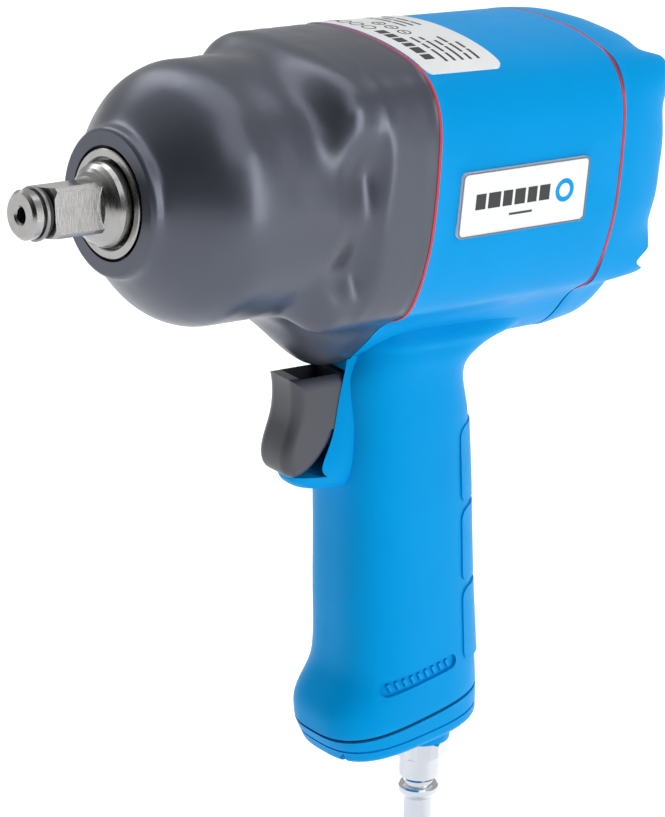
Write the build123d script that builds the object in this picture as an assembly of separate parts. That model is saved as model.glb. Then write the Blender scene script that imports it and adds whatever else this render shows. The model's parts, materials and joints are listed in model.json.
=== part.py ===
from build123d import *
from math import cos, sin, radians, pi, sqrt
import os

# Half-inch air impact wrench with a twin hammer drive. Millimetres.
# The drive axis is Y, the square drive points along -Y, +Z is up, +X is the tool's left.
# The origin is on the drive axis, where a socket stops against the drive shoulder.

# ---- where each piece sits along the drive axis ----
TIP_Y = -22.0
NOSE_Y = 4.5
CASE_END = 82.2
GASKET_T = 0.8
HOUSING_Y = CASE_END + GASKET_T
HOUSING_END = 146.5
COVER_Y = HOUSING_END + GASKET_T
COVER_END = 166.0

# ---- hammer case ----
BARREL_R = 34.0
CASE_BORE_R = 30.5
VALLEY_DEPTH = 1.7
BUSH_OUT_R = 13.9
BUSH_IN_R = 10.93
CASE_PROFILE = [
    (NOSE_Y, 18.3), (5.1, 19.0), (6.1, 19.35), (7.4, 19.5), (8.6, 20.1), (9.9, 21.4), (11.4, 23.2),
    (13.4, 25.5), (15.8, 28.0), (18.6, 30.4), (21.6, 32.2), (25.2, 33.5), (29.0, 34.0),
    (37.0, 34.0), (43.0, 34.0),
]

# ---- body outline at the front joint and at the rear joint, right half, top to bottom ----
FRONT_HALF = [
    (0.0, 36.6), (8.0, 36.3), (15.5, 35.4), (22.0, 33.9), (27.0, 31.4), (30.8, 27.4),
    (33.4, 21.6), (34.6, 12.0), (34.9, 0.5), (34.4, -10.0), (32.9, -18.5), (30.6, -26.0),
    (27.4, -31.4), (22.6, -34.4), (17.4, -38.0), (13.4, -42.6), (9.4, -47.0), (5.0, -50.9),
    (0.0, -52.6),
]
REAR_HALF = [
    (0.0, 35.5), (7.8, 35.2), (15.0, 34.4), (21.3, 32.9), (26.2, 30.5), (29.9, 26.6),
    (32.4, 21.0), (33.6, 11.6), (33.9, 0.5), (33.4, -9.7), (31.9, -17.9), (29.7, -25.2),
    (26.6, -30.5), (22.4, -33.6), (18.6, -37.2), (15.2, -42.0), (11.2, -46.2), (6.0, -49.2),
    (0.0, -50.2),
]
CHIN_FIRST = 14
COVER_LOBES = (4, 5, 11, 12)

# ---- long bolts ----
BOLT_XZ = 24.7
BOLT_R = 2.5
BOLT_HOLE_R = 2.75
BOLT_HEAD_R = 4.2
BOLT_SEAT_Y = 150.6
BOLT_TIP_Y = 67.0

# ---- handle: height, centre in Y, half width, half depth ----
HANDLE = [
    (-54.0, 102.9, 15.88, 20.23), (-66.0, 104.4, 16.07, 20.33), (-78.0, 106.0, 16.26, 20.72),
    (-90.0, 107.6, 16.46, 21.1), (-107.0, 109.9, 16.55, 21.39), (-124.0, 112.3, 16.65, 21.88),
    (-138.0, 114.4, 16.84, 22.36), (-144.0, 114.7, 16.94, 23.23), (-149.0, 113.9, 17.23, 24.97),
    (-154.0, 113.3, 17.52, 26.14), (-160.0, 114.1, 17.52, 26.04), (-174.0, 115.6, 17.13, 25.36),
]
# where the handle runs into the body: height, front, rear, half width
HANDLE_ROOT = [
    (-36.0, 86.0, 152.0, 16.0), (-44.0, 85.2, 147.0, 16.2), (-46.6, 84.6, 139.0, 16.3),
    (-48.2, 84.2, 132.5, 16.3), (-50.2, 83.8, 127.6, 16.4),
]
HANDLE_POWER = 2.9
SPLIT_Z = -158.0
SPLIT_Y = 97.7
SPLIT_TILT = 12.3
BASE_Z = -166.2
BASE_TILT = 10.0

# ---- trigger ----
TRIGGER_W = 13.2
TRIGGER_ROUND = 3.2
TRIGGER_Z = -67.0
TRIGGER_TOP = -54.2
TRIGGER_LOW = -81.9
STEM_R = 2.5

# ---- throttle valve, standing in the handle ----
VALVE_Y = 113.5
SEAT_Z = -88.0
VALVE_HEAD_R = 5.4

# ---- air inlet ----
INLET_Y = 127.7
INLET_Z = -166.0
INLET_TILT = 5.0

# ---- motor ----
LINER_R = 30.4
LINER_BORE_R = 23.9
LINER_OFFSET = 2.5
LINER_Y = 88.1
LINER_END = 138.0
ROTOR_R = 21.2
VANES = 6

DOWEL_Z = -27.0

# ---- reverse and power knob in the rear cover ----
KNOB_R = 8.4
KNOB_Z = -35.5
# rear cover: y, scale of the upper outline, scale of the lower lobe
COVER_ROWS = [
    (COVER_Y, 1.0, 1.0), (152.0, 0.995, 0.995), (157.0, 0.975, 0.98), (161.0, 0.945, 0.955),
    (164.0, 0.905, 0.91), (COVER_END, 0.85, 0.86),
]

# ---- badges, label and plug ----
BADGE_TURN = 0.85
HEX_AF = 14.0
STEM_TIP_Y = 111.9
DRIVE_TURN = -12.5

# ---- hammer mechanism ----
CAGE_R = 29.4
CAGE_END = 67.0
DOG_Y = (34.2, 47.2)
DOG_T = 12.2
PIN_Z = 21.0
PIN_R = 3.0
DOG_R = 26.0
LUG_R = 11.8
LUG_HALF = 20


def solid_of(shape):
    """The one solid of a boolean result."""
    found = shape.solids()
    return found[0] if len(found) == 1 else Compound(children=list(found))


def cyl(r, y0, y1, x=0.0, z=0.0):
    """A cylinder along Y from y0 to y1."""
    plane = Plane(origin=(x, y0, z), x_dir=(1, 0, 0), z_dir=(0, 1, 0))
    return extrude(plane * Circle(r), amount=y1 - y0)


def tube(r_out, r_in, y0, y1, x=0.0, z=0.0):
    return cyl(r_out, y0, y1, x, z) - cyl(r_in, y0 - 1, y1 + 1, x, z)


def rod(r, z0, z1, y, x=0.0):
    """A cylinder along Z from z0 to z1."""
    return extrude(Plane.XY.offset(z0) * Pos(x, y) * Circle(r), amount=z1 - z0)


def block(x0, x1, y0, y1, z0, z1):
    centre = ((x0 + x1) / 2, (y0 + y1) / 2, (z0 + z1) / 2)
    return Pos(*centre) * Box(x1 - x0, y1 - y0, z1 - z0)


def turned(profile):
    """A solid turned about the drive axis from (y, r) corner points."""
    wire = Polyline(*[(0, y, r) for y, r in profile], close=True)
    return revolve(make_face(wire), Axis.Y)


def full_loop(half):
    """The right half of an outline, mirrored into a whole loop of points."""
    return half + [(-x, z) for x, z in reversed(half[1:-1])]


def y_section(loop, y):
    """A smooth closed face across the drive axis at y."""
    return Face(Wire(Spline(*[(x, y, z) for x, z in loop], periodic=True)))


def between(a, b, t):
    return [(p[0] + (q[0] - p[0]) * t, p[1] + (q[1] - p[1]) * t) for p, q in zip(a, b)]


def ease(a, b, v):
    t = min(1.0, max(0.0, (v - a) / (b - a)))
    return t * t * (3 - 2 * t)


def body_half(y, grow=0.0):
    """Right half of the housing outline at y, grown outward by a distance."""
    half = between(FRONT_HALF, REAR_HALF, (y - CASE_END) / (HOUSING_END - CASE_END))
    return [(x * (1 + grow / hypot2(x, z)), z * (1 + grow / hypot2(x, z))) for x, z in half]


def hypot2(x, z):
    return sqrt(x * x + z * z)


def case_half(y, r0):
    """Right half of the case outline at y: a circle that swells into the front outline.

    The corners round the bolts swell first, which leaves a scooped valley on each side.
    """
    out = []
    for i, (x, z) in enumerate(FRONT_HALF):
        full = hypot2(x, z)
        side = 1 - ease(14.0, 27.0, abs(z + 2.0)) if i < CHIN_FIRST else 0.0
        scoop = VALLEY_DEPTH * side * ease(51.0, 60.5, y) * (1 - ease(61.5, 67.5, y))
        if i >= CHIN_FIRST:
            t = ease(45.0, 78.0, y)
        else:
            t = ease(46.0, 58.0, y) * (1 - side) + ease(61.5, 68.5, y) * side
        r = r0 - scoop + (full - r0) * t
        out.append((x / full * r, z / full * r))
    return out


def hammer_case():
    faces = [y_section(full_loop(case_half(y, r)), y) for y, r in CASE_PROFILE]
    for k in range(1, 14):
        y = 43.2 + 3.0 * k
        faces.append(y_section(full_loop(case_half(y, BARREL_R)), y))
    body = loft(faces)
    cavity = turned([
        (25.6, 0), (25.6, 21.5), (28.8, CASE_BORE_R), (CASE_END + 1, CASE_BORE_R), (CASE_END + 1, 0),
    ])
    body -= cavity
    body -= cyl(BUSH_OUT_R, NOSE_Y - 2, 27)
    body -= cyl(BUSH_OUT_R + 0.8, NOSE_Y - 2, NOSE_Y + 3.5)
    for sx in (-1, 1):
        for sz in (-1, 1):
            body -= cyl(BOLT_R, BOLT_TIP_Y - 2, CASE_END + 1, sx * BOLT_XZ, sz * BOLT_XZ)
    return solid_of(body)


def gasket(y):
    proud, level, sunk = body_half(y, 0.15), body_half(y, -0.05), body_half(y, -0.8)
    half = level[:4] + proud[4:CHIN_FIRST] + sunk[CHIN_FIRST:]
    face = y_section(full_loop(half), y)
    plate = extrude(face, amount=GASKET_T, dir=(0, 1, 0))
    plate -= cyl(CASE_BORE_R + 0.3, y - 1, y + 2)
    for sx in (-1, 1):
        for sz in (-1, 1):
            plate -= cyl(BOLT_HOLE_R, y - 1, y + 2, sx * BOLT_XZ, sz * BOLT_XZ)
    return solid_of(plate)


def super_loop(cy, a, b_front, b_rear, power, count=28):
    """An egg shaped loop in X and Y, blunt by the power."""
    pts = []
    for i in range(count):
        t = 2 * pi * i / count
        c, s = cos(t), sin(t)
        px = a * abs(c) ** (2 / power) * (1 if c >= 0 else -1)
        b = b_rear if s >= 0 else b_front
        py = cy + b * abs(s) ** (2 / power) * (1 if s >= 0 else -1)
        pts.append((px, py))
    return pts


def z_section(loop, z):
    return Face(Wire(Spline(*[(x, y, z) for x, y in loop], periodic=True)))


def handle_solid(inset=0.0):
    """The handle as one tall solid, from inside the body to below the foot."""
    faces = []
    for z, front, rear, a in HANDLE_ROOT:
        mid = 103.0
        faces.append(z_section(super_loop(mid, a, mid - front, rear - mid, HANDLE_POWER), z))
    for z, cy, a, b in HANDLE:
        a, b = a - inset, b - inset
        faces.append(z_section(super_loop(cy, a, b, b, HANDLE_POWER), z))
    return loft(faces)


def foot_solid(inset=0.0):
    """The lowest part of the handle shape, for the pieces at the foot."""
    faces = []
    for z, cy, a, b in HANDLE[-7:]:
        faces.append(z_section(super_loop(cy, a - inset, b - inset, b - inset, HANDLE_POWER), z))
    return loft(faces)


def tilted_half_space(y, z, tilt, below):
    """A big block whose face passes through (y, z) and rises rearward by the tilt."""
    box = Pos(0, 0, -100 if below else 100) * Box(300, 600, 200)
    return Pos(0, y, z) * Rot(tilt, 0, 0) * box


def trigger_boss():
    """The boss that carries the trigger, with a lip below it, kept clear of the case's chin."""
    faces = []
    rows = [
        (-46.0, 77.4, 8.2), (-54.4, 77.4, 8.3), (-60.0, 76.6, 8.4), (-66.0, 76.2, 8.5),
        (-71.0, 75.4, 8.5), (-76.0, 72.8, 8.3), (-79.5, 70.4, 8.0), (-82.5, 69.4, 7.4),
        (-84.8, 70.8, 6.6), (-86.6, 76.5, 5.4), (-88.0, 86.0, 4.2),
    ]
    for z, front, a in rows:
        faces.append(z_section(super_loop(95.0, a, 95.0 - front, 6.0, 3.0), z))
    outline = y_section(full_loop(body_half(CASE_END, 0.35)), 60.0)
    chin = extrude(outline, amount=HOUSING_Y - 60, dir=(0, 1, 0))
    return loft(faces) - chin


def grip_pads():
    """Raised pads on the back of the handle."""
    faces = []
    for z, cy, a, b in HANDLE[1:8]:
        faces.append(z_section(super_loop(cy + 0.2, a + 0.35, b + 0.1, b + 0.6, HANDLE_POWER), z))
    skin = loft(faces)
    pads = []
    for z0, z1 in ((-92.4, -70.0), (-116.0, -94.0), (-139.6, -117.6)):
        mid = (z0 + z1) / 2
        cy = 104.4 + (mid + 66) * -0.139
        pad = Pos(0, cy + 24, mid) * Rot(8, 0, 0) * Box(60, 24, z1 - z0)
        pad = fillet(pad.edges().filter_by(Axis.X), 3.0)
        pads.append(skin & pad)
    return pads


def inlet_axis_plane(down):
    """A plane on the inlet axis, a distance below the boss rim, facing down."""
    t = radians(INLET_TILT)
    d = (0, sin(t), -cos(t))
    return Plane(origin=(0, INLET_Y + d[1] * down, INLET_Z + d[2] * down), x_dir=(1, 0, 0), z_dir=d)


def inlet_cyl(r, start, end):
    return extrude(inlet_axis_plane(start) * Circle(r), amount=end - start)


def motor_housing():
    faces = [y_section(full_loop(body_half(y)), y) for y in (HOUSING_Y, 104.0, 125.0, HOUSING_END)]
    body = loft(faces)
    handle = handle_solid() - tilted_half_space(SPLIT_Y, SPLIT_Z, SPLIT_TILT, True)
    handle &= block(-40, 40, HOUSING_Y, HOUSING_END, -200, -30)
    body += handle
    body += trigger_boss()
    for pad in grip_pads():
        body += pad
    body -= cyl(CASE_BORE_R, HOUSING_Y - 1, HOUSING_END + 1)
    # trigger slot and stem guide
    half = TRIGGER_W / 2 + 0.2
    body -= block(-half, half, 60, 93, TRIGGER_LOW - 0.5, -53.6)
    body -= block(-half, half, 60, HOUSING_Y, -60, -50)
    body -= cyl(4.0, 92, 108, 0, TRIGGER_Z)
    # exhaust channel down the front of the handle
    channel = Pos(0, 99.0, -92.0) * Rot(7.9, 0, 0) * Box(15, 8, 142)
    body -= channel & block(-20, 20, 80, 125, -200, -26)
    body += tube(5.0, 4.0, 92.5, 107.0, 0, TRIGGER_Z)
    # valve chamber, seat bore and air way up to the motor
    body -= rod(7.4, -86, -60, VALVE_Y)
    body -= rod(8.2, -134, -85, VALVE_Y)
    body -= rod(4.5, -61, -29, VALVE_Y)
    body -= inlet_cyl(7.0, -38, 20)
    body -= cyl(4.0, 92, 108, 0, TRIGGER_Z)
    # badge recesses on both sides, and the data strip near the foot
    for side in (-1, 1):
        body -= badge(side, 0.15)
    strip = Pos(17.0, 110.9, -142.4) * Rot(12.8, 0, 0) * Box(12.0, 25.6, 4.4)
    strip = fillet(strip.edges().filter_by(Axis.X), 2.1)
    body -= strip - foot_solid(1.0)
    for i in range(9):
        place = Pos(17.0, 110.9, -142.4) * Rot(12.8, 0, 0) * Pos(0, (i - 4) * 2.45, 0)
        rib = place * Rot(20, 0, 0) * Box(12.0, 0.9, 2.3)
        body += (rib & foot_solid(0.35)) & block(12, 20, 90, 130, -160, -120)
    for sx in (-1, 1):
        for sz in (-1, 1):
            body -= cyl(BOLT_HOLE_R, 80, 150, sx * BOLT_XZ, sz * BOLT_XZ)
    return solid_of(body)


def badge(side, grow=0.0):
    """Flat name badge let into the side of the housing."""
    plate = Box(1.1, 44.3 + 2 * grow, 17.6 + 2 * grow)
    plate = fillet(plate.edges().filter_by(Axis.X), 1.6)
    return Pos(side * 34.62, 112.6, -0.6) * Rot(0, 0, side * BADGE_TURN) * plate


def rating_label():
    """Thin label wrapped over the top of the housing behind the front joint."""
    rows = (HOUSING_Y + 0.1, 100.0, 118.0)
    outer = loft([y_section(full_loop(body_half(y, 0.3)), y) for y in rows])
    inner = loft([y_section(full_loop(body_half(y, 0.0)), y) for y in rows])
    outline = Box(51.0, 26.0, 60)
    outline = fillet(outline.edges().filter_by(Axis.Z), 2.5)
    return solid_of((outer - inner) & Pos(0, 96.3, 50) * outline)


def rear_cover():
    faces = []
    for y, scale, keel in COVER_ROWS:
        half = []
        for i, (x, z) in enumerate(REAR_HALF):
            k = keel if i >= CHIN_FIRST else scale
            if i in COVER_LOBES:
                k = 1.014 - (1.0 - scale) * 0.3
            half.append((x * k, z * k))
        faces.append(y_section(full_loop(half), y))
    body = loft(faces)
    body = fillet(body.faces().sort_by(Axis.Y)[-1].edges(), 1.2)
    body -= cyl(25.0, COVER_Y - 1, 158.0)
    for sx in (-1, 1):
        for sz in (-1, 1):
            body -= cyl(BOLT_HOLE_R, COVER_Y - 1, 170, sx * BOLT_XZ, sz * BOLT_XZ)
            body -= cyl(4.85, BOLT_SEAT_Y, 170, sx * BOLT_XZ, sz * BOLT_XZ)
    body -= cyl(KNOB_R + 0.5, 160.6, 172, 0, KNOB_Z)
    body -= cyl(5.0, COVER_Y + 1.2, 162, 0, KNOB_Z)
    body -= cyl(1.3, 154.0, 162, 6.4, KNOB_Z)
    body -= block(-3, 3, 150, 156, -30, -20)
    return solid_of(body)


def bolts():
    out = []
    for sx in (-1, 1):
        for sz in (-1, 1):
            x, z = sx * BOLT_XZ, sz * BOLT_XZ
            head = cyl(BOLT_HEAD_R, BOLT_SEAT_Y + 1.05, BOLT_SEAT_Y + 6.0, x, z)
            head = fillet(head.edges().sort_by(Axis.Y)[-1], 0.5)
            plane = Plane(origin=(x, BOLT_SEAT_Y + 3.4, z), x_dir=(1, 0, 0), z_dir=(0, 1, 0))
            head -= extrude(plane * RegularPolygon(2.3, 6), amount=5)
            shank = cyl(BOLT_R - 0.03, BOLT_TIP_Y, BOLT_SEAT_Y + 2, x, z)
            out.append(solid_of(head + shank))
    return Compound(children=out)


def bolt_washers():
    out = []
    for sx in (-1, 1):
        for sz in (-1, 1):
            x, z = sx * BOLT_XZ, sz * BOLT_XZ
            out.append(solid_of(tube(4.6, 2.6, BOLT_SEAT_Y + 0.03, BOLT_SEAT_Y + 1.0, x, z)))
    return Compound(children=out)


def anvil_bushing():
    body = tube(BUSH_OUT_R - 0.01, BUSH_IN_R, NOSE_Y - 0.4, 25.3)
    body -= cyl(BUSH_IN_R + 0.75, NOSE_Y - 2, NOSE_Y + 2.6)
    return solid_of(chamfer(body.edges().sort_by(Axis.Y)[:2], 0.25))


def lug(turn, y0, y1):
    """One striking lug on the anvil, a sector between two planes."""
    half = LUG_HALF
    pts = [(0, 0)]
    for a in (-half, -half / 2, 0, half / 2, half):
        pts.append((30 * cos(radians(turn + a)), 30 * sin(radians(turn + a))))
    wire = Polyline(*[(x, y0, z) for x, z in pts], close=True)
    wedge = extrude(make_face(wire), amount=y1 - y0, dir=(0, 1, 0))
    return wedge & cyl(LUG_R, y0, y1)


def anvil():
    square = Pos(0, -6.0, 0) * Rot(0, DRIVE_TURN, 0) * Box(12.7, 40, 12.7)
    turned_down = turned([
        (TIP_Y, 0), (TIP_Y, 5.5), (TIP_Y + 0.85, 6.33), (TIP_Y + 2.9, 6.33), (TIP_Y + 3.1, 5.2),
        (TIP_Y + 6.1, 5.2), (TIP_Y + 6.3, 7.4), (TIP_Y + 7.2, 8.25), (3.0, 8.25), (3.0, 0),
    ])
    body = square & turned_down
    body += turned([
        (-1.6, 0), (-1.6, 7.6), (-0.9, 8.6), (0.0, 9.5), (1.2, 10.4), (2.4, 10.85),
        (3.0, 10.9), (27.0, 10.9), (27.0, 15.5), (29.2, 15.5), (29.2, 8.5), (60.0, 8.5),
        (60.0, 7.0), (63.6, 7.0), (63.6, 0),
    ])
    body += lug(45, DOG_Y[0] + 0.4, DOG_Y[0] + DOG_T - 0.4)
    body += lug(225, DOG_Y[1] + 0.4, DOG_Y[1] + DOG_T - 0.4)
    body -= cyl(2.0, TIP_Y - 1, TIP_Y + 9.0)
    body -= turned([(TIP_Y - 0.1, 0), (TIP_Y - 0.1, 2.7), (TIP_Y + 0.6, 2.0), (TIP_Y + 0.6, 0)])
    return solid_of(body)


def socket_ring():
    ring = tube(6.95, 5.9, TIP_Y + 3.5, TIP_Y + 4.7)
    ring = fillet(ring.edges(), 0.3)
    return solid_of(ring - block(-0.5, 0.5, TIP_Y, TIP_Y + 8, -9, -3))


def retainer_o_ring():
    ring = tube(6.5, 5.25, TIP_Y + 4.85, TIP_Y + 5.95)
    return solid_of(fillet(ring.edges(), 0.45))


def thrust_washer():
    return solid_of(tube(17.0, 11.1, 25.7, 26.95))


def sector(r0, r1, half, y0, y1, turn=0.0):
    """A ring sector centred on the +X side, turned about the drive axis."""
    pts = [(0, 0)]
    for a in (-half, -half / 2, 0, half / 2, half):
        pts.append((60 * cos(radians(turn + a)), 60 * sin(radians(turn + a))))
    wire = Polyline(*[(x, y0, z) for x, z in pts], close=True)
    return extrude(make_face(wire), amount=y1 - y0, dir=(0, 1, 0)) & tube(r1, r0, y0, y1)


def spline_face(r_root, r_top, width, y):
    plane = Plane(origin=(0, y, 0), x_dir=(1, 0, 0), z_dir=(0, 1, 0))
    face = Circle(r_root)
    for i in range(6):
        face += Rot(0, 0, 60 * i) * Pos(r_top / 2, 0) * Rectangle(r_top, width)
    return plane * face


def hammer_cage():
    body = tube(CAGE_R, 12.7, 30.0, 33.4)
    body += tube(CAGE_R, 7.06, 60.4, CAGE_END)
    body += tube(12.0, 6.5, CAGE_END - 1, 74.0)
    for turn in (0, 180):
        body += sector(26.9, CAGE_R, 23, 30.0, CAGE_END, turn)
    for z in (PIN_Z, -PIN_Z):
        body -= cyl(PIN_R, 31.0, 66.0, 0, z)
    body += tube(11.0, 4.0, 64.3, 74.0)
    body -= extrude(spline_face(5.06, 5.96, 2.52, 60), amount=16, dir=(0, 1, 0))
    body -= cyl(7.06, 59, 64.3)
    return solid_of(body)


def hammer_pins():
    return Compound(children=[
        solid_of(cyl(PIN_R - 0.01, 31.05, 65.95, 0, z)) for z in (PIN_Z, -PIN_Z)
    ])


def hammer_dog(front):
    """A rocking ring with two jaws; the rear one is the front one turned half way round."""
    y0 = DOG_Y[0] if front else DOG_Y[1]
    y1 = y0 + DOG_T
    body = cyl(DOG_R, y0, y1) & block(-20, 20, y0, y1, -30, 30)
    hole = cyl(14.0, y0 - 1, y1 + 1)
    for turn in (0, 180):
        hole -= sector(12.2, 15.0, 15, y0 - 2, y1 + 2, turn)
    body -= hole
    body -= cyl(PIN_R + 0.05, y0 - 1, y1 + 1, 0, PIN_Z)
    body -= block(-8.4, 8.4, y0 - 1, y1 + 1, -40, -17.6)
    if not front:
        body = Rot(0, 180, 0) * body
    return solid_of(body)


def disc_plate(y0, y1, seat_r, seat0, seat1, hole_r):
    body = cyl(LINER_R, y0, y1) - cyl(hole_r, y0 - 1, y1 + 1)
    body -= cyl(seat_r, seat0, seat1)
    body -= cyl(1.53, y0 + 1 if y0 < 100 else y0 - 1, y1 + 1 if y0 < 100 else y1 - 1, 0, DOWEL_Z)
    return body


def front_end_plate():
    return solid_of(disc_plate(79.0, 88.0, 14.0, 78.0, 87.2, 9.0))


def rear_end_plate():
    body = disc_plate(138.1, 146.4, 13.0, 139.0, 148.0, 8.5)
    return solid_of(body - cyl(4.0, 137, 148, 0, -24.0))


def race(r_out, r_in, y0, y1, pitch, ball):
    ring = tube(r_out, r_in, y0, y1)
    groove = Pos(0, (y0 + y1) / 2, 0) * Rot(90, 0, 0) * Torus(pitch, ball + 0.05)
    return solid_of(ring - groove)


def balls(pitch, ball, count, y):
    out = []
    for i in range(count):
        a = 2 * pi * (i + 0.5) / count
        out.append(Pos(pitch * cos(a), y, pitch * sin(a)) * Sphere(ball))
    return Compound(children=out)


def cylinder_liner():
    body = cyl(LINER_R, LINER_Y, LINER_END)
    body -= cyl(LINER_BORE_R, LINER_Y - 1, LINER_END + 1, 0, LINER_OFFSET)
    body -= cyl(1.53, LINER_Y - 1, LINER_END + 1, 0, DOWEL_Z)
    for x in (-9.0, 9.0):
        body -= rod(2.2, -35, -10, 113.5, x)
    for x in (-6.0, 6.0):
        for y in (91.8, 97.6):
            body -= rod(2.0, -35, -10, y, x)
    body -= block(-9.5, 9.5, 109, 118, -32, -28.4)
    return solid_of(body)


def rotor():
    body = cyl(ROTOR_R, LINER_Y + 0.3, LINER_END - 0.3)
    for i in range(VANES):
        slot = Pos(0, 113, (13.7 + 24) / 2) * Box(2.6, 60, 24 - 13.7)
        body -= Rot(0, 60 * i + 30, 0) * slot
    body += cyl(6.0, 78.0, 90)
    body += cyl(8.2, 87.4, 90)
    body += cyl(5.0, 136, 147.0)
    body += cyl(7.0, 136, 139.2)
    body += extrude(spline_face(5.0, 5.9, 2.4, 64.8), amount=14, dir=(0, 1, 0))
    return solid_of(body)


def rotor_vanes():
    out = []
    for i in range(VANES):
        vane = Pos(0, 113.05, (13.9 + 21.0) / 2) * Box(2.4, 48.7, 7.1)
        out.append(Rot(0, 60 * i + 30, 0) * vane)
    return Compound(children=out)


def dowel_pin():
    return solid_of(cyl(1.5, 80.2, 145.2, 0, DOWEL_Z))


def reverse_knob():
    body = cyl(KNOB_R, 160.9, 167.0, 0, KNOB_Z)
    body = fillet(body.edges().sort_by(Axis.Y)[-1], 1.0)
    for i in range(12):
        a = 2 * pi * (i + 0.5) / 12
        body -= cyl(1.0, 162.4, 169, KNOB_R * cos(a) * 1.04, KNOB_Z + KNOB_R * sin(a) * 1.04)
    body -= block(-1.2, 1.2, 166.2, 168, KNOB_Z + 3.2, KNOB_Z + 7.0)
    body -= cyl(3.0, 164.6, 168, 0, KNOB_Z)
    body -= cyl(1.6, 160, 168, 0, KNOB_Z)
    return solid_of(body)


def reverse_spool():
    body = cyl(4.94, COVER_Y + 1.5, 160.8, 0, KNOB_Z)
    body -= block(-6, 6, 150.5, 155.5, KNOB_Z + 2.0, KNOB_Z + 8)
    body -= cyl(1.5, 154, 162, 0, KNOB_Z)
    return solid_of(body)


def knob_screw():
    head = cyl(2.8, 164.65, 166.3, 0, KNOB_Z)
    head -= block(-0.35, 0.35, 165.6, 167, KNOB_Z - 4, KNOB_Z + 4)
    return solid_of(head + cyl(1.46, 155, 165, 0, KNOB_Z))


def coil(r, wire_r, low, high, turns):
    """A round wire spring standing along Z from low to high."""
    line = Helix(pitch=(high - low - 2 * wire_r) / turns, height=high - low - 2 * wire_r, radius=r)
    start = Plane(origin=line @ 0, z_dir=line % 0)
    return sweep(start * Circle(wire_r), path=line, is_frenet=True)


def detent_ball():
    return Pos(6.4, 159.6, KNOB_Z) * Sphere(1.15)


def detent_spring():
    spring = coil(0.85, 0.25, 0, 4.2, 6)
    return solid_of(Pos(6.4, 158.4, KNOB_Z) * Rot(90, 0, 0) * Pos(0, 0, 0.25) * spring)


def trigger():
    """Hooked trigger: hollow front, rounded heel and a pocket in its top."""
    front = Spline(
        (0, 65.3, TRIGGER_TOP), (0, 66.8, -60.4), (0, 66.7, -66.0), (0, 65.2, -72.4),
        (0, 64.8, -76.6), (0, 66.0, -80.2), (0, 69.4, TRIGGER_LOW),
    )
    heel = Spline(
        (0, 69.4, TRIGGER_LOW), (0, 73.9, -80.3), (0, 77.6, -76.8), (0, 80.4, -72.4), (0, 81.6, -69.0),
        tangents=((0, 1, 0.02), (0, 0.3, 1)),
    )
    back = Polyline((0, 81.6, -69.0), (0, 86.5, -69.0), (0, 86.5, TRIGGER_TOP), (0, 65.3, TRIGGER_TOP))
    face = make_face(Wire([front, heel] + back.edges()))
    body = extrude(face, amount=TRIGGER_W / 2, dir=(1, 0, 0), both=True)
    edges = body.edges().filter_by(lambda e: abs(abs(e.center().X) - TRIGGER_W / 2) < 0.01)
    body = fillet(edges.filter_by(lambda e: e.length > 15 and e.center().Y < 80), TRIGGER_ROUND)
    body -= block(-4.4, 4.4, 68.6, 81.0, TRIGGER_TOP - 5.5, 0)
    body -= cyl(STEM_R, 76.0, 90, 0, TRIGGER_Z)
    pin = Pos(0, 83.6, TRIGGER_Z) * Rot(0, 90, 0) * Cylinder(1.25, 30)
    return solid_of(body - pin)


def trigger_stem():
    body = cyl(STEM_R - 0.01, 76.1, STEM_TIP_Y, 0, TRIGGER_Z)
    body = fillet(body.edges().sort_by(Axis.Y)[-1], 0.8)
    pin = Pos(0, 83.6, TRIGGER_Z) * Rot(0, 90, 0) * Cylinder(1.25, 30)
    return solid_of(body - pin)


def trigger_pin():
    return Pos(0, 83.6, TRIGGER_Z) * Rot(0, 90, 0) * Cylinder(1.24, TRIGGER_W - 0.6)


def stem_guide():
    return solid_of(tube(3.99, STEM_R + 0.03, 93.2, 106.4, 0, TRIGGER_Z))


def valve_seat():
    body = rod(8.19, SEAT_Z, -85.05, VALVE_Y) - rod(4.0, -95, -80, VALVE_Y)
    return solid_of(body)


def throttle_valve():
    head = rod(VALVE_HEAD_R, SEAT_Z - 3.2, SEAT_Z - 0.05, VALVE_Y)
    stem = rod(1.4, SEAT_Z - 2, -64.0, VALVE_Y)
    stem = fillet(stem.edges().sort_by(Axis.Z)[-1], 0.8)
    tail = rod(1.6, SEAT_Z - 5.5, SEAT_Z - 3, VALVE_Y)
    return solid_of(head + stem + tail)


def throttle_spring():
    low = -112.0
    return solid_of(Pos(0, VALVE_Y, low + 0.5) * coil(3.4, 0.5, 0, SEAT_Z - 3.3 - low, 6))


def spring_seat():
    """A perforated steel cup that holds the foot of the throttle spring."""
    body = rod(8.15, -114.0, -112.1, VALVE_Y)
    for i in range(6):
        a = 2 * pi * i / 6
        body -= rod(1.5, -116, -110, VALVE_Y + 5 * sin(a), 5 * cos(a))
    return solid_of(body)


def inlet_bushing():
    body = inlet_cyl(6.98, -34, 3.2) - inlet_cyl(5.6, -40, 10)
    return solid_of(body)


def inlet_screen():
    body = inlet_cyl(5.55, -16, -11) - inlet_cyl(4.9, -15.4, -9)
    plane = inlet_axis_plane(-18)
    for i in (-2, -1, 0, 1, 2):
        for k in (-2, -1, 0, 1, 2):
            if i * i + k * k <= 5:
                body -= extrude(plane * Pos(i * 1.7, k * 1.7) * Circle(0.5), amount=4)
    return solid_of(body)


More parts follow.
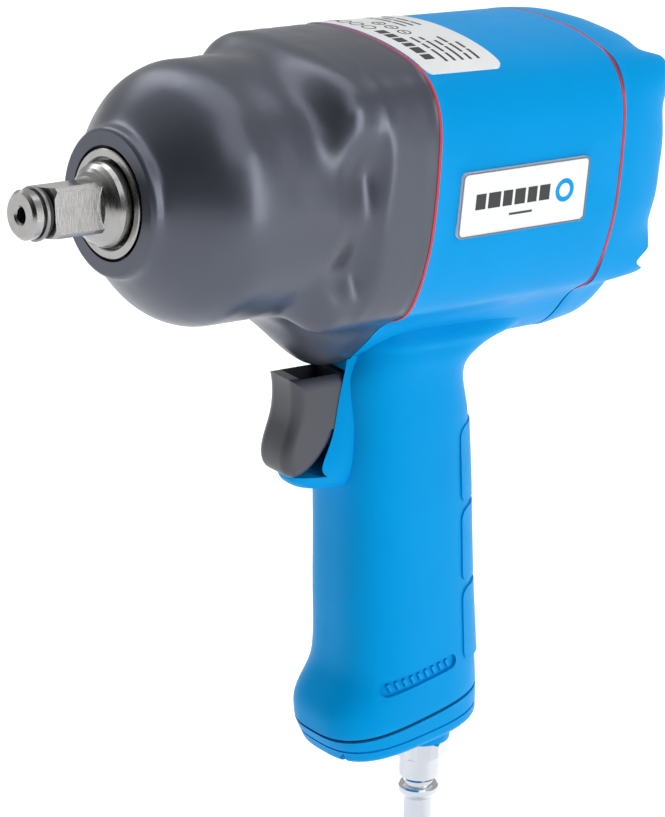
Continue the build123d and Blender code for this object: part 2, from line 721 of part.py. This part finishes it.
def air_plug():
    """Quick-connect air plug with a hexagon, screwed into the inlet."""
    hexagon = extrude(inlet_axis_plane(3.7) * RegularPolygon(HEX_AF / 2, 6, major_radius=False), amount=5.2)
    profile = [
        (0, 3.4), (6.9, 3.4), (8.2, 4.6), (8.2, 7.8), (7.0, 9.1), (0, 9.1),
    ]
    plane = Plane(origin=(0, INLET_Y, INLET_Z), x_dir=(1, 0, 0), z_dir=(0, -1, 0))
    limit = revolve(make_face(Polyline(*[(r, 0, -d) for r, d in profile], close=True)), Axis.Z)
    lower = [
        (0, 8.6), (5.3, 8.6), (5.65, 9.4), (5.65, 15.6), (4.9, 16.6), (4.2, 17.0),
        (4.2, 18.4), (5.2, 18.7), (5.65, 19.2), (5.65, 20.6), (5.0, 21.4), (3.95, 22.6),
        (3.95, 33.0), (3.4, 34.4), (0, 34.4),
    ]
    stem = revolve(make_face(Polyline(*[(r, 0, -d) for r, d in lower], close=True)), Axis.Z)
    shank = revolve(make_face(Polyline(*[(r, 0, -d) for r, d in [
        (0, -9), (5.2, -9), (5.55, -8.4), (5.55, 2.6), (4.9, 3.8), (0, 3.8),
    ]], close=True)), Axis.Z)
    place = Pos(0, INLET_Y, INLET_Z) * Rot(INLET_TILT, 0, 0)
    body = (hexagon & (place * limit)) + place * stem + place * shank
    body -= inlet_cyl(2.6, -12, 40)
    return solid_of(body)


def foot_slab(inset, top, thick):
    """A slice of the handle shape below the split, top and thickness measured from it."""
    body = foot_solid(inset)
    t = radians(SPLIT_TILT)
    dy, dz = sin(t), -cos(t)
    body -= tilted_half_space(SPLIT_Y + dy * top, SPLIT_Z + dz * top, SPLIT_TILT, False)
    end = top + thick
    body -= tilted_half_space(SPLIT_Y + dy * end, SPLIT_Z + dz * end, SPLIT_TILT, True)
    return body


def channel_box(grow):
    return Pos(0, 99.0, -92.0) * Rot(7.9, 0, 0) * Box(15 + grow, 8 + grow, 160)


def base_gasket():
    body = foot_slab(0.9, 0.03, 0.94)
    body -= channel_box(0.4)
    body -= inlet_cyl(7.4, -30, 30)
    return solid_of(body)


def exhaust_deflector():
    body = foot_solid()
    t = radians(SPLIT_TILT)
    top_y, top_z = SPLIT_Y + sin(t), SPLIT_Z - cos(t)
    body -= tilted_half_space(top_y, top_z, SPLIT_TILT, False)
    body -= tilted_half_space(101.8, BASE_Z, BASE_TILT, True)
    low = body.faces().sort_by(Axis.Z)[0].edges()
    body = fillet(low, 2.4)
    groove = tilted_half_space(101.8, BASE_Z + 4.6, BASE_TILT, True)
    groove -= tilted_half_space(101.8, BASE_Z + 3.9, BASE_TILT, True)
    body -= groove - foot_solid(0.4)
    body += inlet_cyl(8.3, -8, 3.4)
    hollow = foot_solid(3.2)
    hollow -= tilted_half_space(101.8, BASE_Z + 2.4, BASE_TILT, True)
    hollow -= inlet_cyl(9.4, -30, 30)
    hollow &= block(-30, 30, 80, 119, -200, -140)
    body -= hollow
    for i in range(-2, 3):
        body -= Pos(i * 4.2, 101.0, -166) * Rot(BASE_TILT, 0, 0) * Box(2.0, 17, 12)
    body -= inlet_cyl(7.02, -30, 30)
    return solid_of(body)


def muffler():
    body = foot_solid(3.5)
    t = radians(SPLIT_TILT)
    body -= tilted_half_space(SPLIT_Y + 1.2 * sin(t), SPLIT_Z - 1.2 * cos(t), SPLIT_TILT, False)
    body -= tilted_half_space(101.8, BASE_Z + 2.6, BASE_TILT, True)
    body -= inlet_cyl(9.7, -30, 30)
    body &= block(-30, 30, 80, 118.6, -200, -140)
    return solid_of(body)


NODES = {
    "hammer_case": hammer_case,
    "anvil_bushing": anvil_bushing,
    "anvil": anvil,
    "socket_ring": socket_ring,
    "retainer_o_ring": retainer_o_ring,
    "thrust_washer": thrust_washer,
    "hammer_cage": hammer_cage,
    "hammer_pins": hammer_pins,
    "hammer_dog_front": lambda: hammer_dog(True),
    "hammer_dog_rear": lambda: hammer_dog(False),
    "front_gasket": lambda: gasket(CASE_END),
    "front_end_plate": front_end_plate,
    "front_bearing_outer": lambda: race(13.99, 11.7, 79.2, 87.15, 10.0, 2.3),
    "front_bearing_inner": lambda: race(8.3, 6.01, 79.2, 87.15, 10.0, 2.3),
    "front_bearing_balls": lambda: balls(10.0, 2.3, 9, 83.175),
    "cylinder_liner": cylinder_liner,
    "rotor": rotor,
    "rotor_vanes": rotor_vanes,
    "liner_dowel": dowel_pin,
    "rear_end_plate": rear_end_plate,
    "rear_bearing_outer": lambda: race(12.99, 10.6, 139.3, 146.3, 8.95, 2.2),
    "rear_bearing_inner": lambda: race(7.3, 5.01, 139.3, 146.3, 8.95, 2.2),
    "rear_bearing_balls": lambda: balls(8.95, 2.2, 8, 142.8),
    "rear_gasket": lambda: gasket(HOUSING_END),
    "rear_cover": rear_cover,
    "cover_bolts": bolts,
    "bolt_washers": bolt_washers,
    "reverse_knob": reverse_knob,
    "reverse_spool": reverse_spool,
    "knob_screw": knob_screw,
    "detent_ball": detent_ball,
    "detent_spring": detent_spring,
    "motor_housing": motor_housing,
    "trigger": trigger,
    "trigger_stem": trigger_stem,
    "trigger_pin": trigger_pin,
    "stem_guide": stem_guide,
    "valve_seat": valve_seat,
    "throttle_valve": throttle_valve,
    "throttle_spring": throttle_spring,
    "spring_seat": spring_seat,
    "inlet_bushing": inlet_bushing,
    "inlet_screen": inlet_screen,
    "air_plug": air_plug,
    "base_gasket": base_gasket,
    "exhaust_deflector": exhaust_deflector,
    "exhaust_muffler": muffler,
    "badge_left": lambda: badge(1),
    "badge_right": lambda: badge(-1),
    "rating_label": rating_label,
}

os.makedirs("parts", exist_ok=True)
for name, make in NODES.items():
    export_step(make(), f"parts/{name}.step")
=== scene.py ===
"""Looks for the air impact wrench: procedural materials, printed marks, studio and camera round the CAD frame."""
import json
import math
import bmesh
import bpy
from mathutils import Matrix, Vector
from mathutils.bvhtree import BVHTree


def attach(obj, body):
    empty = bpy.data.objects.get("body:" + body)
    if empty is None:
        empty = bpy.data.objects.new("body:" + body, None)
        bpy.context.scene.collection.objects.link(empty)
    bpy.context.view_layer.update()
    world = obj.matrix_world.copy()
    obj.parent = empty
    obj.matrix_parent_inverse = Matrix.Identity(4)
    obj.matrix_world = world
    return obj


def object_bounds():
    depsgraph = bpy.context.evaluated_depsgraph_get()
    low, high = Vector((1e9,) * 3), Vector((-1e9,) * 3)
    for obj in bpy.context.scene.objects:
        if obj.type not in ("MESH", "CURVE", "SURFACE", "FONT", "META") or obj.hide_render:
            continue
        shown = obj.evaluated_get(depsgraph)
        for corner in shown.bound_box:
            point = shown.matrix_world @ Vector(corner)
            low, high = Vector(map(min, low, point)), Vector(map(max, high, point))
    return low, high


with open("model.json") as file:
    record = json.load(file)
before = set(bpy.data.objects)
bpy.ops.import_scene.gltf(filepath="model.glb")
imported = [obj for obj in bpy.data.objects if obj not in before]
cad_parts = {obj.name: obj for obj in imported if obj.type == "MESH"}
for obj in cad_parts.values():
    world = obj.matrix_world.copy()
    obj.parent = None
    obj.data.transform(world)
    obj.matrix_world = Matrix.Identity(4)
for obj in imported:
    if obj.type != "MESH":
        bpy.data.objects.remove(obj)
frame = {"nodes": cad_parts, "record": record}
CAD_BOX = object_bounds()
NODES = frame["nodes"]
scene = bpy.context.scene
MM = 0.001


# ---------------------------------------------------------------- node helpers
class Nodes:
    """A small helper that builds a node material around one Principled shader."""

    def __init__(self, name):
        self.mat = bpy.data.materials.new(name)
        self.mat.use_nodes = True
        self.tree = self.mat.node_tree
        self.tree.nodes.clear()
        self.out = self.add("ShaderNodeOutputMaterial")
        self.bsdf = self.add("ShaderNodeBsdfPrincipled")
        self.link(self.bsdf, "BSDF", self.out, "Surface")
        self.coord = self.add("ShaderNodeTexCoord")

    def add(self, kind, **props):
        node = self.tree.nodes.new(kind)
        for key, value in props.items():
            setattr(node, key, value)
        return node

    def link(self, a, sa, b, sb):
        self.tree.links.new(a.outputs[sa], b.inputs[sb])

    def noise(self, scale, detail=3.0, rough=0.55, stretch=(1, 1, 1), seed=0.0):
        """Noise in the object's own space; stretch under 1 draws it out along that axis."""
        mapping = self.add("ShaderNodeMapping")
        mapping.inputs["Scale"].default_value = stretch
        mapping.inputs["Location"].default_value = (seed, seed * 0.7, seed * 1.3)
        self.link(self.coord, "Object", mapping, "Vector")
        tex = self.add("ShaderNodeTexNoise")
        tex.inputs["Scale"].default_value = scale
        tex.inputs["Detail"].default_value = detail
        tex.inputs["Roughness"].default_value = rough
        self.link(mapping, "Vector", tex, "Vector")
        return tex

    def ramp(self, source, socket, stops):
        """Turn a factor into a colour through (position, colour) stops."""
        node = self.add("ShaderNodeValToRGB")
        self.link(source, socket, node, "Fac")
        elements = node.color_ramp.elements
        while len(elements) < len(stops):
            elements.new(0.5)
        for element, (pos, colour) in zip(elements, stops):
            element.position = pos
            element.color = (*colour, 1)
        return node

    def span(self, source, socket, low, high, a=0.3, b=0.7):
        """Map a factor's range a to b onto low to high."""
        node = self.add("ShaderNodeMapRange")
        node.inputs["From Min"].default_value = a
        node.inputs["From Max"].default_value = b
        node.inputs["To Min"].default_value = low
        node.inputs["To Max"].default_value = high
        self.link(source, socket, node, "Value")
        return node

    def times(self, source, socket, factor):
        node = self.add("ShaderNodeMath", operation="MULTIPLY")
        self.link(source, socket, node, 0)
        node.inputs[1].default_value = factor
        return node

    def mix(self, factor, factor_socket, base, base_socket, colour):
        """Lay one colour over a base, as far as the factor says."""
        node = self.add("ShaderNodeMix", data_type="RGBA", blend_type="MIX")
        self.link(factor, factor_socket, node, "Factor")
        self.link(base, base_socket, node, "A")
        node.inputs["B"].default_value = (*colour, 1)
        return node

    def bump(self, source, socket, strength, depth):
        """Bump the shader's normal; depth is in metres."""
        node = self.add("ShaderNodeBump")
        node.inputs["Strength"].default_value = strength
        node.inputs["Distance"].default_value = depth
        self.link(source, socket, node, "Height")
        self.link(node, "Normal", self.bsdf, "Normal")

    def set(self, **values):
        for key, value in values.items():
            self.bsdf.inputs[key.replace("_", " ")].default_value = value


def shade(colour, k):
    """The colour made k times as bright."""
    return tuple(max(0.0, min(1.0, c * k)) for c in colour)


def edge_mask(m, share):
    """Bright along outside edges, from the mesh's own curvature, up to this share."""
    geo = m.add("ShaderNodeNewGeometry")
    return m.times(m.span(geo, "Pointiness", 0.0, 1.0, 0.53, 0.62), "Result", share)


# ---------------------------------------------------------------- materials
PAINT_WEAR = 0.18          # how far the paler edge colour shows on paint and plastic
METAL_WEAR = 0.35          # the same on metal
OIL_TINT = (0.62, 0.5, 0.36)


def painted(name, colour, rough, grain_mm, grain, specular=0.5, coat=0.0, coat_rough=0.2, spread=0.05,
            flake=0.0, glint=(1, 1, 1)):
    """Satin paint or moulded plastic: cloudy colour, fine grain, and slightly paler worn edges.

    flake is the share of metal flake in the paint, and glint the colour of the highlights.
    """
    m = Nodes(name)
    broad = m.noise(28.0, 3.0, 0.6)
    tint = m.ramp(broad, "Fac", [(0.3, shade(colour, 1 - spread)), (0.7, shade(colour, 1 + spread))])
    specks = m.span(m.noise(2600.0, 2.0, 0.5, seed=3.1), "Fac", 0.0, 0.06, 0.62, 0.8)
    speckled = m.mix(specks, "Result", tint, "Color", shade(colour, 1.5))
    pale = [min(1.0, c * 1.25 + 0.03) for c in colour]
    worn = m.mix(edge_mask(m, PAINT_WEAR), "Value", speckled, "Result", pale)
    m.link(worn, "Result", m.bsdf, "Base Color")
    smudge = m.noise(60.0, 4.0, 0.65, seed=7.7)
    m.link(m.span(smudge, "Fac", rough - 0.05, rough + 0.06), "Result", m.bsdf, "Roughness")
    m.bump(m.noise(1 / (grain_mm * MM), 2.0, 0.5), "Fac", grain, 0.06 * MM)
    m.set(Specular_IOR_Level=specular, Specular_Tint=(*glint, 1), Metallic=flake,
          Coat_Weight=coat, Coat_Roughness=coat_rough)
    return m.mat


def metal(name, colour, rough, axis=None, marks_mm=0.25, marks=0.35, stain=0.12, spread=0.06):
    """Machined metal: tool marks round an axis (or none), faint oil stain, brighter edges."""
    m = Nodes(name)
    cloud = m.noise(90.0, 4.0, 0.65)
    tint = m.ramp(cloud, "Fac", [(0.3, shade(colour, 1 - spread)), (0.72, shade(colour, 1 + spread))])
    oil = m.span(m.noise(42.0, 5.0, 0.7, seed=5.3), "Fac", 0.0, stain, 0.5, 0.72)
    oiled = m.mix(oil, "Result", tint, "Color", [c * k for c, k in zip(colour, OIL_TINT)])
    bright = [min(0.9, c * 1.35) for c in colour]
    worn = m.mix(edge_mask(m, METAL_WEAR), "Value", oiled, "Result", bright)
    m.link(worn, "Result", m.bsdf, "Base Color")
    stretch = {"y": (0.06, 1.0, 0.06), "z": (0.06, 0.06, 1.0), None: (1, 1, 1)}[axis]
    lines = m.noise(1 / (marks_mm * MM), 2.0, 0.6, stretch)
    m.link(m.span(lines, "Fac", rough - 0.06, rough + 0.09), "Result", m.bsdf, "Roughness")
    m.bump(lines, "Fac", marks, 0.03 * MM)
    m.set(Metallic=1.0)
    return m.mat


def rubber(name, colour, rough=0.6):
    """Dull rubber or ink with a fine grit."""
    m = Nodes(name)
    cloud = m.noise(220.0, 4.0, 0.6)
    tint = m.ramp(cloud, "Fac", [(0.3, shade(colour, 0.85)), (0.7, shade(colour, 1.2))])
    m.link(tint, "Color", m.bsdf, "Base Color")
    m.link(m.span(cloud, "Fac", rough - 0.08, rough + 0.1), "Result", m.bsdf, "Roughness")
    m.bump(m.noise(3500.0, 2.0, 0.5), "Fac", 0.4, 0.04 * MM)
    m.set(Specular_IOR_Level=0.35)
    return m.mat


def printed(name, colour, rough, coat):
    """Printed film or enamelled plate."""
    m = Nodes(name)
    cloud = m.noise(70.0, 3.0, 0.5)
    tint = m.ramp(cloud, "Fac", [(0.3, shade(colour, 0.97)), (0.7, shade(colour, 1.02))])
    m.link(tint, "Color", m.bsdf, "Base Color")
    m.link(m.span(cloud, "Fac", rough - 0.04, rough + 0.05), "Result", m.bsdf, "Roughness")
    m.bump(m.noise(900.0, 2.0, 0.5), "Fac", 0.15, 0.02 * MM)
    m.set(Coat_Weight=coat, Coat_Roughness=0.1)
    return m.mat


def felt(name, colour):
    """Pressed fibre, coarse and quite matt."""
    m = Nodes(name)
    fibre = m.noise(1800.0, 5.0, 0.7, (1, 0.3, 1))
    tint = m.ramp(fibre, "Fac", [(0.25, shade(colour, 0.6)), (0.75, shade(colour, 1.25))])
    m.link(tint, "Color", m.bsdf, "Base Color")
    m.link(m.span(fibre, "Fac", 0.85, 1.0), "Result", m.bsdf, "Roughness")
    m.bump(fibre, "Fac", 0.9, 0.3 * MM)
    return m.mat


def laminate(name, colour):
    """Layered resin cloth, for the vanes."""
    m = Nodes(name)
    layer = m.noise(1500.0, 3.0, 0.6, (0.15, 0.15, 1.0))
    tint = m.ramp(layer, "Fac", [(0.3, shade(colour, 0.7)), (0.7, shade(colour, 1.3))])
    m.link(tint, "Color", m.bsdf, "Base Color")
    m.link(m.span(layer, "Fac", 0.5, 0.7), "Result", m.bsdf, "Roughness")
    m.bump(layer, "Fac", 0.3, 0.05 * MM)
    return m.mat


MATS = {
    "case_grey": painted("case_paint", (0.090, 0.098, 0.126), rough=0.34, grain_mm=0.55, grain=0.05,
                         coat=0.1, coat_rough=0.25, spread=0.03, flake=0.65),
    "body_blue": painted("blue_shell", (0.0, 0.305, 0.715), rough=0.40, grain_mm=0.6, grain=0.14,
                         specular=0.13, coat_rough=0.3, spread=0.03, glint=(0.12, 0.72, 1.0)),
    "grip_grey": painted("trigger_plastic", (0.052, 0.055, 0.070), rough=0.36, grain_mm=0.7, grain=0.35,
                         coat=0.1, coat_rough=0.3),
    "knob_black": painted("knob_plastic", (0.02, 0.02, 0.023), rough=0.42, grain_mm=0.5, grain=0.35),
    "bright_steel": metal("ground_steel", (0.37, 0.366, 0.362), 0.24, "y", marks_mm=0.2, marks=0.06,
                          stain=0.06, spread=0.03),
    "tool_steel": metal("machined_steel", (0.27, 0.267, 0.264), 0.34, "y", marks_mm=0.35, marks=0.2,
                        stain=0.12),
    "dark_steel": metal("black_oxide", (0.075, 0.075, 0.085), 0.42, marks_mm=0.5, marks=0.3, stain=0.1),
    "bronze": metal("sintered_bronze", (0.62, 0.40, 0.19), 0.42, "y", marks_mm=0.3, marks=0.4, stain=0.3),
    "cast": metal("cast_iron", (0.24, 0.24, 0.25), 0.5, marks_mm=0.8, marks=0.6, stain=0.35),
    "plug_chrome": metal("plated_plug", (0.66, 0.67, 0.69), 0.14, "z", marks_mm=0.4, marks=0.06,
                         stain=0.03, spread=0.02),
    "gasket_red": rubber("red_gasket", (0.62, 0.03, 0.04), 0.5),
    "black_rubber": rubber("black_rubber", (0.018, 0.018, 0.02), 0.5),
    "badge_white": printed("badge_enamel", (0.84, 0.85, 0.85), 0.3, 0.6),
    "label_white": printed("label_film", (0.83, 0.84, 0.85), 0.36, 0.5),
    "vane": laminate("vane_resin", (0.25, 0.15, 0.07)),
    "felt": felt("muffler_felt", (0.36, 0.36, 0.34)),
}
INK = rubber("label_ink", (0.035, 0.036, 0.04), 0.45)
# painted shade: this dark frame round each side badge stands in for the shadow in the gap round the badge
BADGE_EDGE_SHADE = metal("badge_edge_shade", (0.16, 0.17, 0.19), 0.35, marks_mm=0.5, marks=0.2, stain=0.05)

for part in frame["record"]["subparts"]:
    obj = NODES[part["node"]]
    obj.data.materials.clear()
    obj.data.materials.append(MATS[part["material_slot"]])


# ---------------------------------------------------------------- printed marks and trims
RAY_LIFT = 0.03            # a ray starts this far off the surface it looks for
RAY_REACH = 0.2


class Skin:
    """A CAD node's surface, for laying thin pieces on it."""

    def __init__(self, node):
        obj = NODES[node]
        verts = [obj.matrix_world @ v.co for v in obj.data.vertices]
        self.tree = BVHTree.FromPolygons(verts, [tuple(p.vertices) for p in obj.data.polygons])

    def drop(self, start, way):
        """The first place on the surface along a ray, or None."""
        return self.tree.ray_cast(start, way, RAY_REACH)[0]


class Print:
    """Thin closed patches laid on a surface, gathered into one piece.

    Places are (a, b) in millimetres from start, a along u and b along v. Each patch stands
    lift above the surface and reaches sink below it.
    """

    def __init__(self, name, skin, start, u, v, lift=0.05 * MM, sink=0.10 * MM):
        self.name, self.skin, self.start = name, skin, Vector(start)
        self.u, self.v = Vector(u), Vector(v)
        self.n = self.u.cross(self.v).normalized()
        self.lift, self.sink = lift, sink
        self.bm = bmesh.new()

    def pair(self, a, b):
        """An upper and a lower vertex at a place, or None off the surface."""
        at = self.start + self.u * a * MM + self.v * b * MM
        hit = self.skin.drop(at + self.n * RAY_LIFT, -self.n)
        if hit is None:
            return None
        return self.bm.verts.new(hit + self.n * self.lift), self.bm.verts.new(hit - self.n * self.sink)

    def patch(self, rows):
        """One closed patch over a grid of places."""
        grid = []
        for row in rows:
            grid.append([])
            for a, b in row:
                pair = self.pair(a, b)
                if pair is None:
                    return
                grid[-1].append(pair)
        last, end = len(rows) - 1, len(rows[0]) - 1
        for i in range(last):
            for j in range(end):
                corners = grid[i][j], grid[i][j + 1], grid[i + 1][j + 1], grid[i + 1][j]
                self.bm.faces.new([top for top, _ in corners])
                self.bm.faces.new([low for _, low in (corners[0], *reversed(corners[1:]))])
        rim = [(0, j) for j in range(end)] + [(i, end) for i in range(last)]
        rim += [(last, j) for j in range(end, 0, -1)] + [(i, 0) for i in range(last, 0, -1)]
        for (i, j), (p, q) in zip(rim, rim[1:] + rim[:1]):
            self.bm.faces.new((*grid[i][j], *reversed(grid[p][q])))

    def bar(self, a, b, width, height, step=1.5):
        """A rectangle centred at a place, split finely enough to follow the surface."""
        nx = max(1, math.ceil(width / step))
        ny = max(1, math.ceil(height / step))
        self.patch([
            [(a + (i / nx - 0.5) * width, b + (j / ny - 0.5) * height) for i in range(nx + 1)]
            for j in range(ny + 1)
        ])

    def bar_row(self, left, b, widths, height, gap):
        """Bars of these widths, side by side from the left."""
        for width in widths:
            self.bar(left + width / 2, b, width, height)
            left += width + gap

    def loop(self, inner, outer):
        """A closed band between two loops of places."""
        band = []
        for near, far in zip(inner, outer):
            ends = []
            for place in (near, far):
                pair = self.pair(*place)
                if pair is None:
                    return
                ends.append(pair)
            band.append(ends)
        for (p, q), (r, t) in zip(band, band[1:] + band[:1]):
            self.bm.faces.new((p[0], q[0], t[0], r[0]))
            self.bm.faces.new((p[1], r[1], t[1], q[1]))
            self.bm.faces.new((q[0], q[1], t[1], t[0]))
            self.bm.faces.new((p[0], r[0], r[1], p[1]))

    def ring(self, a, b, radius, width, count=28):
        """A round band."""
        turns = [2 * math.pi * k / count for k in range(count)]
        self.loop(
            [(a + math.cos(t) * (radius - width), b + math.sin(t) * (radius - width)) for t in turns],
            [(a + math.cos(t) * radius, b + math.sin(t) * radius) for t in turns],
        )

    def done(self, material):
        """Make the piece, on the tool's body."""
        bmesh.ops.recalc_face_normals(self.bm, faces=self.bm.faces)
        mesh = bpy.data.meshes.new(self.name)
        self.bm.to_mesh(mesh)
        self.bm.free()
        obj = bpy.data.objects.new(self.name, mesh)
        scene.collection.objects.link(obj)
        obj.data.materials.append(material)
        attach(obj, "body")


def rounded(width, height, radius, steps=6):
    """Places round a rectangle with rounded corners."""
    out = []
    for cx, cy, first in ((1, 1, 0), (-1, 1, 90), (-1, -1, 180), (1, -1, 270)):
        for k in range(steps + 1):
            t = math.radians(first + 90 * k / steps)
            out.append((
                cx * (width / 2 - radius) + math.cos(t) * radius,
                cy * (height / 2 - radius) + math.sin(t) * radius,
            ))
    return out


LABEL_CENTRE = (0, 0.0963, 0.036)
LEFT_NOTES = (6.5, 3.0, 4.0), (4.0, 7.0, 2.2), (7.5, 3.4), (3.0, 5.2, 4.2), (5.0, 3.8)
RIGHT_NOTES = (5.0, 6.4, 3.2), (8.0, 3.6), (4.2, 4.6, 5.0)


def label_marks():
    """The rating label: a heading, rings and lines of small bars, with no lettering."""
    label = Print("label_print", Skin("rating_label"), LABEL_CENTRE, (-1, 0, 0), (0, -1, 0))
    label.bar_row(-20.0, 7.6, (2.6, 3.4, 2.2, 3.0, 2.6, 2.8), 3.3, 0.9)
    for k in range(4):
        label.ring(5.2 + 5.0 * k, 7.6, 2.0, 0.42)
    for k in range(3):
        label.ring(-2.0 + 5.2 * k, 1.6, 1.9, 0.4)
        label.bar(-2.0 + 5.2 * k, 1.6, 1.5, 0.45)
    for row, widths in enumerate(LEFT_NOTES):
        label.bar_row(-21.6, 3.2 - 2.7 * row, widths, 0.85, 0.8)
    for row, widths in enumerate(RIGHT_NOTES):
        label.bar_row(3.0, -3.0 - 2.6 * row, widths, 0.8, 0.9)
    label.done(INK)


BADGE_OUT, BADGE_Y, BADGE_Z = 0.0352, 0.1126, -0.0006
BADGE_LEAN = 0.85          # degrees that the body's side narrows by


def badge_marks(side, tag, skin):
    """A side badge: a dark rim of painted shade for the shadowed gap round it, one plain wide mark, a thin line
    and a ring.
    """
    lean = math.radians(side * BADGE_LEAN)
    along = Vector((-math.sin(lean), math.cos(lean), 0)) * side
    start = (side * BADGE_OUT, BADGE_Y, BADGE_Z)
    # the rim is painted shade, a dark frame laid where the gap round the badge would fall into shadow
    rim = Print("badge_edge_shade_" + tag, skin, start, along, (0, 0, 1), 0.10 * MM)
    rim.loop(rounded(43.3, 16.6, 1.2), rounded(44.2, 17.5, 1.55))
    rim.done(BADGE_EDGE_SHADE)
    mark = Print("badge_mark_" + tag, skin, start, along, (0, 0, 1))
    mark.bar_row(-17.0, 0.6, (3.4, 4.2, 3.2, 3.6, 3.2, 3.6), 4.2, 0.9)
    mark.bar(-1.0, -3.9, 8.0, 0.6)
    mark.done(INK)
    dot = Print("badge_dot_" + tag, skin, start, along, (0, 0, 1))
    dot.ring(14.0, 0.4, 3.2, 1.3)
    dot.done(MATS["body_blue"])


label_marks()
# the badge nodes are named for the tool's own sides, and these marks as seen from the front
for side, tag, node in ((1, "right", "badge_left"), (-1, "left", "badge_right")):
    badge_marks(side, tag, Skin(node))


# ---------------------------------------------------------------- camera
AZIMUTH, ELEVATION, ROLL = math.radians(49.44), math.radians(19.23), math.radians(5.51)
EYE = Vector((0.8062, -0.6056, 0.3040))
SENSOR = 36.0
LENS = 186.376


def add_camera():
    forward = Vector((
        -math.sin(AZIMUTH) * math.cos(ELEVATION),
        math.cos(AZIMUTH) * math.cos(ELEVATION),
        -math.sin(ELEVATION),
    ))
    level = Vector((math.cos(AZIMUTH), math.sin(AZIMUTH), 0))
    upright = level.cross(forward)
    right = level * math.cos(ROLL) + upright * math.sin(ROLL)
    up = upright * math.cos(ROLL) - level * math.sin(ROLL)
    data = bpy.data.cameras.new("photo_camera")
    data.sensor_fit = "VERTICAL"
    data.sensor_height = SENSOR
    data.lens = LENS
    data.clip_start = 0.05
    data.clip_end = 60
    cam = bpy.data.objects.new("photo_camera", data)
    scene.collection.objects.link(cam)
    turn = Matrix((right, up, -forward)).transposed()
    cam.matrix_world = Matrix.Translation(EYE) @ turn.to_4x4()
    return cam


bpy.context.scene.camera = add_camera()


# ---------------------------------------------------------------- studio
CENTRE = Vector((0, 0.07, -0.05))
TENT_OPENING = Vector((0.58, -0.80, 0.12)).normalized()
TENT_LIGHT, OPENING_LIGHT = 0.50, 0.02
FLOOR_Z = CAD_BOX[0][2] - 0.0005
FLOOR_HALF = 9


def panel(name, at, size, power):
    """A soft rectangular studio light, aimed at the tool."""
    data = bpy.data.lights.new(name, "AREA")
    data.shape = "RECTANGLE"
    data.size, data.size_y = size
    data.energy = power
    obj = bpy.data.objects.new(name, data)
    scene.collection.objects.link(obj)
    at = Vector(at)
    turn = (CENTRE - at).to_track_quat("-Z", "Y").to_matrix()
    obj.matrix_world = Matrix.Translation(at) @ turn.to_4x4()


def add_tent():
    """A pale tent all round, with the dark opening that the camera looks in through."""
    world = bpy.data.worlds.new("studio")
    scene.world = world
    world.use_nodes = True
    tree = world.node_tree
    back = tree.nodes["Background"]
    back.inputs["Color"].default_value = (1.0, 1.0, 1.0, 1)
    way = tree.nodes.new("ShaderNodeTexCoord")
    facing = tree.nodes.new("ShaderNodeVectorMath")
    facing.operation = "DOT_PRODUCT"
    facing.inputs[1].default_value = TENT_OPENING
    tree.links.new(way.outputs["Generated"], facing.inputs[0])
    light = tree.nodes.new("ShaderNodeMapRange")
    light.interpolation_type = "SMOOTHSTEP"
    light.inputs["From Min"].default_value = 0.15
    light.inputs["From Max"].default_value = 0.85
    light.inputs["To Min"].default_value = TENT_LIGHT
    light.inputs["To Max"].default_value = OPENING_LIGHT
    tree.links.new(facing.outputs["Value"], light.inputs["Value"])
    tree.links.new(light.outputs["Result"], back.inputs["Strength"])


def add_floor():
    """A plain pale floor that glows a little, so the tool stands on white."""
    mesh = bpy.data.meshes.new("floor")
    bm = bmesh.new()
    for x, y in ((-1, -1), (1, -1), (1, 1), (-1, 1)):
        bm.verts.new((x * FLOOR_HALF, y * FLOOR_HALF, FLOOR_Z))
    bm.faces.new(bm.verts)
    bm.to_mesh(mesh)
    bm.free()
    floor = bpy.data.objects.new("floor", mesh)
    scene.collection.objects.link(floor)
    paper = Nodes("paper_sweep")
    tint = paper.ramp(paper.noise(300.0, 3.0, 0.5), "Fac", [(0.3, (0.93,) * 3), (0.7, (0.95,) * 3)])
    paper.link(tint, "Color", paper.bsdf, "Base Color")
    paper.set(Roughness=0.9, Specular_IOR_Level=0.1, Emission_Color=(1, 1, 1, 1), Emission_Strength=0.42)
    floor.data.materials.append(paper.mat)


panel("key_right", (1.40, 0.50, 0.30), (0.55, 1.6), 11)
panel("key_high", (0.80, -0.10, 1.15), (0.9, 0.9), 3)
panel("rim_left", (-1.10, 0.05, 1.05), (0.6, 1.2), 7)
panel("top_soft", (-0.15, 0.35, 1.4), (1.1, 1.1), 5)
add_tent()
add_floor()
scene.view_settings.view_transform = "Standard"
scene.view_settings.look = "None"
